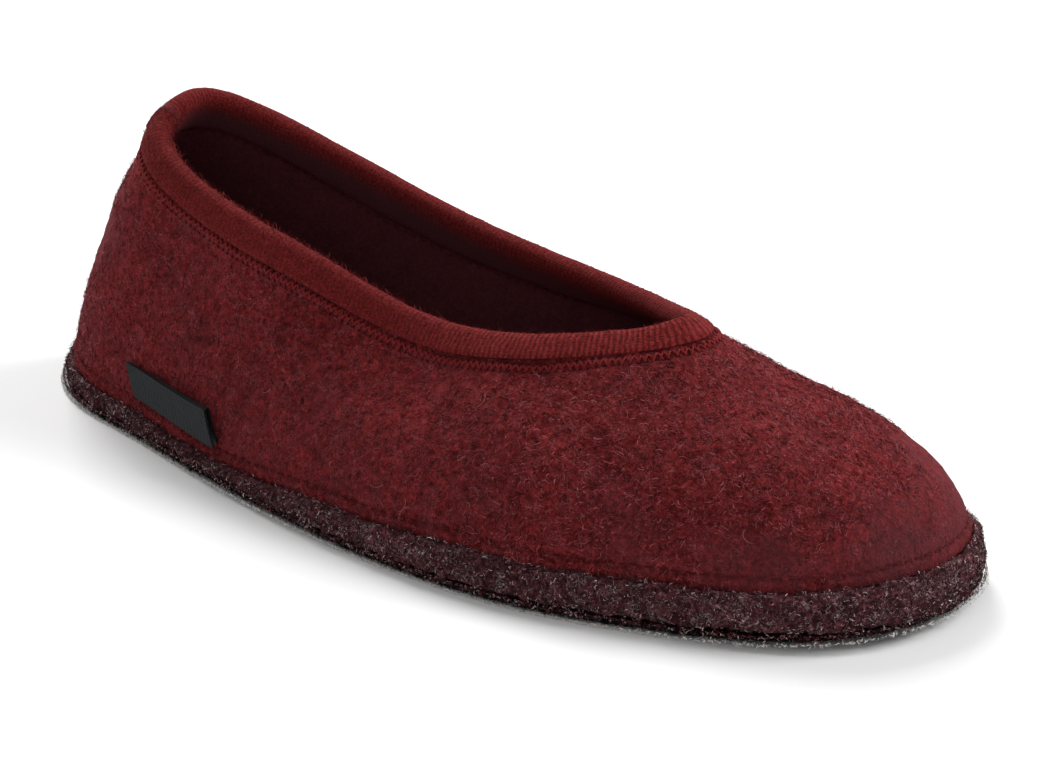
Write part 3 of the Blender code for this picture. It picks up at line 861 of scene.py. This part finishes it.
def make_binding():
    piece = cad_copy("binding", "knit_binding", 2)
    displace(piece, "soft knit", 7, 0.35, 1)
    points, normals = vertices(piece)
    place, _, rim, out = GUIDE.read(points)
    inside = np.clip(-out / WALL, 0, 1)
    # The strip's ends lap each other at the heel's outer corner
    corner = GUIDE.run(0.35 * KNOTS[1] * GUIDE_PLACES, GUIDE.rim_run)
    lap = np.exp(-((GUIDE.run(place, GUIDE.rim_run) - corner) / (1.1 * MM)) ** 2)
    points = points + normals * (0.7 * MM * lap)[:, None]
    set_vertices(piece, points)
    x, y = points[:, 0], points[:, 1]
    # Painted shade: the strip gets a darker share deeper inside the slipper, and it is darker at the lap
    depth = np.clip(inside * np.clip(rim / (4.5 * MM), 0, 1) * 1.1, 0, 0.92)
    point_value(piece, "shade", np.maximum(depth, 0.6 * lap))
    # Ribs show where the strip is stretched round the front, and hide under fuzz elsewhere
    clear = np.clip((x + 15 * MM) / (35 * MM), 0, 1) * np.clip((20 * MM - y) / (20 * MM), 0, 1)
    point_value(piece, "clear", 0.25 + 0.75 * clear * (1 - inside))
    across = (1 - 2 * inside) * np.maximum(rim, 0) - 4.5 * MM * inside
    map_round(piece, "rib_map", place, GUIDE.rim_run, across)
    dress(piece, knit_material(), "binding", "binding")
    rng = np.random.default_rng(23)
    # Fuzz of the knit: takes the hard edge off the strip
    wool = hair_material("loose red wool", dye("knit_dark"), dye("knit_middle"), dye("knit_light"))
    near = y < 8 * MM
    for name, part in (("binding_nap_near", (depth < 0.6) & near),
                       ("binding_nap_far", (depth < 0.6) & (y > 8 * MM)),
                       ("crest_fuzz", (inside > 0.3) & (rim < 2.5 * MM) & near)):
        dress(nap(name, piece, rng, part), wool, "binding")


def make_sole():
    piece = cad_copy("sole", "felt_sole", 3)
    points, normals = vertices(piece)
    x = points[:, 0] + MIDDLE[0]
    low = lift(x) + TREAD_THICKNESS
    share = (points[:, 2] - low) / (edge_height(x) - TREAD_THICKNESS)
    sideways = np.clip(1 - np.abs(normals[:, 2]), 0, 1)
    # Worn felt spreads at its lower edge
    spread = np.clip(1 - np.abs(share - 0.12) / 0.3, 0, 1) * sideways
    points += normals * (1, 1, 0) * (0.8 * MM * spread)[:, None]
    points[:, 2] -= 1.4 * MM * spread + 0.8 * MM * np.clip(1 - share / 0.35, 0, 1)
    # A faint groove runs round the front, where the sole's two layers of felt meet
    front = np.clip((x - 0.55 * LAST_LENGTH) / (0.15 * LAST_LENGTH), 0, 1)
    layers = np.exp(-((share - 0.68) / 0.09) ** 2) * front * sideways
    points -= normals * (0.45 * MM * layers)[:, None]
    set_vertices(piece, points)
    displace(piece, "sole lumps", 7, 1.0, 1)
    displace(piece, "sole crumbs", 2.2, 1.5, 2)
    # Thick pressed felt: reads as rougher and drier than the upper, dark with grey flecks
    material, tree, shader, colour, height = felt_material(
        "heathered sole felt", dye("sole_dark"), dye("sole_middle"), dye("sole_light"),
        dye("sole_fleck"), 1.3, 0.06, "#c09aa0", 0.6)
    finish_felt(tree, shader, colour, height, 1.2)
    dress(piece, material, "sole", "sole")
    rng = np.random.default_rng(31)
    _, normals = vertices(piece)
    shown = (normals[:, 2] < 0.92) & (normals[:, 2] > -0.98) & (share > -0.4)
    # Cut hairs of the sole's side: give it its salt and pepper look
    wool = hair_material("loose plum and grey wool", dye("sole_dark", 0.7), dye("sole_middle"),
                         dye("sole_fleck"))
    dress(nap("sole_hairs", piece, rng, shown), wool, "sole")
    # Torn hairs of the sole's top edge stand up over the upper's felt
    places = rng.random(HAIRS["seam_fuzz"].count)
    roots = stave_points(places, 0.0) - MIDDLE
    out = foot_out(places)
    roots[:, :2] += out * (0.3 + 0.9 * rng.random(len(places)))[:, None] * MM
    roots[:, 2] += (0.6 * rng.random(len(places)) - 0.3) * MM
    ups = np.column_stack([0.5 * out, 0.6 + 0.5 * rng.random(len(places))])
    ups /= np.linalg.norm(ups, axis=1)[:, None]
    # Paler than the side, as on a cut edge: draws the line between sole and upper
    wool = hair_material("torn wool of the sole edge", dye("sole_dark"), dye("sole_light"),
                         dye("sole_fleck"))
    dress(hairs("seam_fuzz", "seam_fuzz", roots, ups, rng), wool, "sole")


def make_tread():
    piece = cad_copy("tread", "dipped_tread", 3)
    points, normals = vertices(piece)
    edge = np.clip(1 - np.abs(normals[:, 2]), 0, 1)[:, None]
    run = np.arctan2(points[:, 1], points[:, 0])
    tuft = 0.5 + 0.3 * np.sin(run * 61 + 3 * np.sin(run * 9)) + 0.2 * np.sin(run * 143)
    plan = normals * (1, 1, 0)
    set_vertices(piece, points + plan * edge * ((1.1 + 0.6 * tuft) * MM)[:, None])
    displace(piece, "tufts", 2.4, 0.7, 2)
    points, _ = vertices(piece)
    points[:, 2] = np.maximum(points[:, 2], 0.02 * MM)
    set_vertices(piece, points)
    # Felt dipped in black latex: reads as matte rubber with wool showing through on its crests
    material, tree, shader = new_material("latex dipped felt", 0.62)
    crumb = noise(tree, object_place(tree), 2.2, 5.0, Roughness=0.65, Distortion=0.5)
    # The crumb's hollows are painted darker, as shade
    colour = ramp(tree, crumb, (0.42, dye("latex", 0.5)), (0.52, dye("latex")), (0.66, dye("sole_middle")))
    finish_felt(tree, shader, colour, crumb, 0.6)
    dress(piece, material, "tread", "tread")
    places = np.linspace(0, 1, HAIRS["tread"].count, endpoint=False)
    rng = np.random.default_rng(41)
    places = (places + rng.normal(size=len(places)) * 0.0004) % 1.0
    foot = stave_points(places, 0.0)
    out = foot_out(places)
    low = foot.copy()
    high = rng.random(len(places)) ** 1.2
    inset = lip(foot[:, 0]) * (1 - TREAD_INSET / SOLE_LIP) + (1.3 + 0.5 * rng.random(len(places))) * MM
    inset += np.where(high < 0.25, 0.5 * MM, 0.0)
    low[:, :2] += out * inset[:, None]
    low[:, 2] = lift(foot[:, 0]) + high * 2.4 * MM
    low -= MIDDLE
    ups = np.column_stack([out, 0.3 * rng.normal(size=len(places))])
    ups /= np.linalg.norm(ups, axis=1)[:, None]
    # Pale torn hairs at the floor, black tufts over them and plum wool that hangs down
    patch = np.sin(places * 700 + 4 * np.sin(places * 90)) + rng.normal(size=len(places)) * 0.5
    layer = np.where(high < 0.25, 0, np.where((patch > -0.9) & (high < 0.72), 1, 2))
    # The fringe draws a pale broken line at the floor, and the tufts break up the black edge
    for name, chosen, tones in (
            ("tread_fringe", 0, (dye("fringe", 0.6), dye("fringe"), dye("fringe"))),
            ("tread_tufts", 1, (dye("latex", 0.6), dye("latex", 0.6), dye("fringe", 0.35))),
            ("tread_wool", 2, (dye("sole_middle"), dye("sole_light"), dye("sole_fleck")))):
        pick = layer == chosen
        torn = hairs(name, "tread", low[pick], ups[pick], rng)
        dress(torn, hair_material(name.replace("_", " ") + " hair", *tones, 0.05), "tread")


def make_insole():
    piece = cad_copy("insole", "felt_insole", 1)
    displace(piece, "footbed", 9, 0.3, 1)
    # Trodden felt: reads as smoother than the upper; its colours come from the inside colour, painted shade
    # of the slipper's inside
    material, tree, shader, colour, height = felt_material(
        "footbed felt", dye("inside", 0.6), dye("inside"), dye("inside", 1.5), dye("inside", 2.2),
        2.2, 0.2, "#a06068", 0.6)
    finish_felt(tree, shader, colour, height, 0.3)
    dress(piece, material, "insole", "insole")


def make_label():
    piece = cad_copy("label", "ribbon_label", 0)
    only(piece)
    bpy.ops.object.mode_set(mode="EDIT")
    bpy.ops.mesh.select_all(action="SELECT")
    bpy.ops.mesh.subdivide(number_cuts=1)
    bpy.ops.object.mode_set(mode="OBJECT")
    bpy.ops.object.shade_smooth_by_angle(angle=math.radians(35))
    # Satin weave: reads as smoother and cooler than the wool, with a faint grid of threads
    material, tree, shader = new_material("woven satin ribbon", 0.5, 0.15, "#9aa4a4", 0.3)
    place = object_place(tree)
    turned = add_node(tree, "ShaderNodeMapping", {"Vector": place, "Rotation": (0.0, 0.0, 0.42)})
    warp, weft = (add_node(tree, "ShaderNodeTexWave",
                           {"Vector": turned.outputs["Vector"], "Scale": scale_for(size_mm),
                            "Distortion": 0.6}, bands_direction=way).outputs["Fac"]
                  for way, size_mm in (("X", 2.2), ("Z", 1.8)))
    weave = compute(tree, "MULTIPLY", warp, weft)
    blend = compute(tree, "MULTIPLY_ADD", noise(tree, place, 5, 3.0), 0.5, weave)
    colour = ramp(tree, blend, (0.2, dye("ribbon", 0.6)), (0.9, dye("ribbon", 1.25)))
    finish_felt(tree, shader, colour, weave, 0.12)
    dress(piece, material, "label", "label")


def on_surface(piece, spots, off):
    """Spots dropped onto a piece's surface, then moved off along its normals."""
    placed, leans = [], []
    for spot in spots:
        found, place, normal, _ = piece.closest_point_on_mesh(Vector(spot))
        if not found:
            raise RuntimeError("no surface near a stitch on " + piece.name)
        placed.append(np.array(place) + off * np.array(normal))
        leans.append(np.array(normal))
    return np.array(placed), np.array(leans)


def stitch_row(name, line, pitch, off, rng, material, slot, size_mm, parts=((0, 1, 0.0),), jitter=0.15):
    """Stitches along a closed line of the wall, laid on the felt; a row can have several parts."""
    upper = bpy.data.objects["felt_upper"]
    spots, outs, ways = evenly(*line, pitch)
    spots, outs = on_surface(upper, spots, off)
    for first, step, slant in parts:
        each = slice(first, None, step)
        own = name if len(parts) == 1 else name + ("_down", "_up")[first]
        row = stitches(own, spots[each], outs[each], ways[each], rng, *size_mm, slant, jitter)
        dress(row, material, slot)


def make_stitches():
    rng = np.random.default_rng(53)
    # Bright thread of the zigzag stands out on the felt; the other rows sink into it, and their thread is a
    # darker copy of the same thread, as painted shade
    thread = thread_material("red sewing thread", 1.0)
    dark = thread_material("deep red sewing thread", 0.45)
    stitch_row("binding_stitches", GUIDE.line(from_rim=BINDING_OUTER_LEG + 1.4 * MM), 0.85 * MM,
               0.22 * MM, rng, thread, "binding", (2.4, 0.6, 0.5), ((0, 2, 1.0), (1, 2, -1.0)))
    stitch_row("sole_stitches", GUIDE.line(from_seam=SOLE_STITCH_HEIGHT),
               bpy.context.scene.slipper_sizes.sole_stitch_pitch,
               0.0, rng, dark, "upper", (1.9, 0.45, 0.35), jitter=0.35)
    points, normals = GUIDE.line(from_rim=BINDING_INNER_LEG + 1.2 * MM, out=-WALL)
    stitch_row("inside_stitches", (points, -normals), 2.8 * MM, 0.1 * MM, rng, dark, "binding",
               (1.8, 0.5, 0.4))


# Area lights: place, width and power in watts. The key comes from behind on the heel's side.
LIGHTS = {
    "key": ((-1.05, 0.78, 1.2), 0.9, 28.0),
    "fill": ((0.5, -1.1, 0.9), 1.2, 3.9),
    "toe": ((0.95, 0.80, 1.1), 0.8, 20.0),
}
LIT_SPOT = (0, 0, 0.03)
WORLD_LIGHT = 0.26
FLOOR_SIZE = 12.0
FLOOR_HEIGHT = -0.0001


def make_stage():
    bpy.ops.object.select_all(action="DESELECT")
    bpy.ops.mesh.primitive_plane_add(size=FLOOR_SIZE, location=(0.0, 0.0, FLOOR_HEIGHT))
    floor = bpy.context.active_object
    floor.name = "floor"
    # Painted studio floor: reads as plain white with a soft shadow
    material, _, shader = new_material("white studio floor", 0.9)
    shader.inputs["Base Color"].default_value = (0.95, 0.95, 0.95, 1.0)
    floor.data.materials.append(material)
    world = bpy.data.worlds.new("studio")
    world.use_nodes = True
    background = world.node_tree.nodes["Background"]
    background.inputs["Color"].default_value = (1.0, 1.0, 1.0, 1.0)
    background.inputs["Strength"].default_value = WORLD_LIGHT
    bpy.context.scene.world = world
    bpy.context.scene.view_settings.view_transform = "Standard"
    for name, (place, size, power) in LIGHTS.items():
        light = bpy.data.lights.new(name, "AREA")
        light.size = size
        light.energy = power
        lamp = bpy.data.objects.new(name, light)
        lamp.location = place
        lamp.rotation_mode = "QUATERNION"
        lamp.rotation_quaternion = (Vector(LIT_SPOT) - Vector(place)).to_track_quat("-Z", "Y")
        bpy.context.scene.collection.objects.link(lamp)
    data = bpy.data.cameras.new("camera")
    data.lens = CAMERA_LENS
    data.sensor_width = CAMERA_SENSOR
    data.clip_start = 0.01
    data.clip_end = 50.0
    camera = bpy.data.objects.new("camera", data)
    camera.location = CAMERA_PLACE
    camera.rotation_euler = [math.radians(a) for a in CAMERA_TURN]
    bpy.context.scene.collection.objects.link(camera)
    bpy.context.scene.camera = camera


# The add-on

def shade(name, words, code):
    return bpy.props.FloatVectorProperty(name=name, description=words, subtype="COLOR", size=3,
                                         min=0.0, max=1.0, default=linear(code))


class SlipperColours(bpy.types.PropertyGroup):
    """Colours of the wool, the latex and the ribbon; the inside colour is painted shade, and the dark and
    light tones of the felt and knit are partly painted shade and light.
    """
    felt_dark: shade("Felt, dark", "Hollows of the boiled wool", "#3c0d0e")
    felt_middle: shade("Felt", "Body of the boiled wool", "#691c1d")
    felt_light: shade("Felt, light", "Raised crumbs of the boiled wool", "#86292b")
    felt_hair: shade("Felt hairs", "Curled hairs on the boiled wool", "#ad5f65")
    knit_dark: shade("Knit, dark", "Grooves between the ribs", "#481213")
    knit_middle: shade("Knit", "Body of the knitted strip", "#701f1f")
    knit_light: shade("Knit, light", "Crests of the ribs", "#963230")
    sole_dark: shade("Sole felt, dark", "Hollows of the sole's side", "#1c0c0e")
    sole_middle: shade("Sole felt", "Body of the sole's side", "#4c262b")
    sole_light: shade("Sole felt, light", "Raised crumbs of the sole's side", "#7c464b")
    sole_fleck: shade("Sole flecks", "Grey hairs in the sole's felt", "#ead2d2")
    latex: shade("Latex dip", "Dipped layer under the sole", "#161416")
    fringe: shade("Fringe", "Torn hairs at the floor", "#f0ebe6")
    # Painted shade of the slipper's inside, laid as colour on its felt, knit and footbed
    inside: shade("Inside", "Felt, knit and footbed inside the slipper", "#43252a")
    ribbon: shade("Ribbon", "Woven label", "#1d2023")
    thread: shade("Thread", "Sewing thread", "#8c2a2c")


class SlipperSizes(bpy.types.PropertyGroup):
    """Sizes of the sewn and knitted details."""
    rib_pitch: bpy.props.FloatProperty(name="Rib pitch", description="Distance from rib to rib of the knit",
                                       default=1.25 * MM, min=0.5 * MM, max=3 * MM, unit="LENGTH")
    sole_stitch_pitch: bpy.props.FloatProperty(
        name="Sole stitch pitch", description="Distance from stitch to stitch above the sole",
        default=3.1 * MM, min=2 * MM, max=12 * MM, unit="LENGTH")


class SLIPPER_OT_upper(bpy.types.Operator):
    """Boiled wool upper with its nap and stray hairs"""
    bl_idname = "slipper.upper"
    bl_label = "Felt upper"

    def execute(self, context):
        make_upper_nap(make_upper())
        return {"FINISHED"}


class SLIPPER_OT_binding(bpy.types.Operator):
    """Ribbed strip over the topline with its nap"""
    bl_idname = "slipper.binding"
    bl_label = "Knitted binding"

    def execute(self, context):
        make_binding()
        return {"FINISHED"}


class SLIPPER_OT_sole(bpy.types.Operator):
    """Heathered felt sole with its loose hairs"""
    bl_idname = "slipper.sole"
    bl_label = "Felt sole"

    def execute(self, context):
        make_sole()
        return {"FINISHED"}


class SLIPPER_OT_tread(bpy.types.Operator):
    """Latex dipped tread with its torn fringe"""
    bl_idname = "slipper.tread"
    bl_label = "Dipped tread"

    def execute(self, context):
        make_tread()
        return {"FINISHED"}


class SLIPPER_OT_insole(bpy.types.Operator):
    """Felt footbed"""
    bl_idname = "slipper.insole"
    bl_label = "Insole"

    def execute(self, context):
        make_insole()
        return {"FINISHED"}


class SLIPPER_OT_label(bpy.types.Operator):
    """Bare folded ribbon on the outer side of the heel"""
    bl_idname = "slipper.label"
    bl_label = "Ribbon label"

    def execute(self, context):
        make_label()
        return {"FINISHED"}


class SLIPPER_OT_stitches(bpy.types.Operator):
    """Stitch rows of the binding, the sole and the inside"""
    bl_idname = "slipper.stitches"
    bl_label = "Stitches"

    def execute(self, context):
        make_stitches()
        return {"FINISHED"}


class SLIPPER_OT_stage(bpy.types.Operator):
    """White floor, soft studio light and the camera"""
    bl_idname = "slipper.stage"
    bl_label = "Stage"

    def execute(self, context):
        make_stage()
        return {"FINISHED"}


OPERATORS = (SLIPPER_OT_upper, SLIPPER_OT_binding, SLIPPER_OT_sole, SLIPPER_OT_tread,
             SLIPPER_OT_insole, SLIPPER_OT_label, SLIPPER_OT_stitches, SLIPPER_OT_stage)


class SLIPPER_PT_panel(bpy.types.Panel):
    """Pieces of the slipper, with their colours and sizes"""
    bl_idname = "SLIPPER_PT_panel"
    bl_label = "Felt slipper"
    bl_space_type = "VIEW_3D"
    bl_region_type = "UI"
    bl_category = "Felt slipper"

    def draw(self, context):
        for operator in OPERATORS:
            self.layout.operator(operator.bl_idname)
        for group in (context.scene.slipper_colours, context.scene.slipper_sizes):
            for name in group.__annotations__:
                self.layout.prop(group, name)


CLASSES = (SlipperColours, SlipperSizes, *OPERATORS, SLIPPER_PT_panel)


def register():
    for each in CLASSES:
        bpy.utils.register_class(each)
    bpy.types.Scene.slipper_colours = bpy.props.PointerProperty(type=SlipperColours)
    bpy.types.Scene.slipper_sizes = bpy.props.PointerProperty(type=SlipperSizes)


def unregister():
    del bpy.types.Scene.slipper_sizes
    del bpy.types.Scene.slipper_colours
    for each in reversed(CLASSES):
        bpy.utils.unregister_class(each)


def main():
    register()
    bpy.ops.slipper.upper()
    bpy.ops.slipper.binding()
    bpy.ops.slipper.sole()
    bpy.ops.slipper.tread()
    bpy.ops.slipper.insole()
    bpy.ops.slipper.label()
    bpy.ops.slipper.stitches()
    bpy.ops.slipper.stage()


if __name__ == "__main__":
    main()
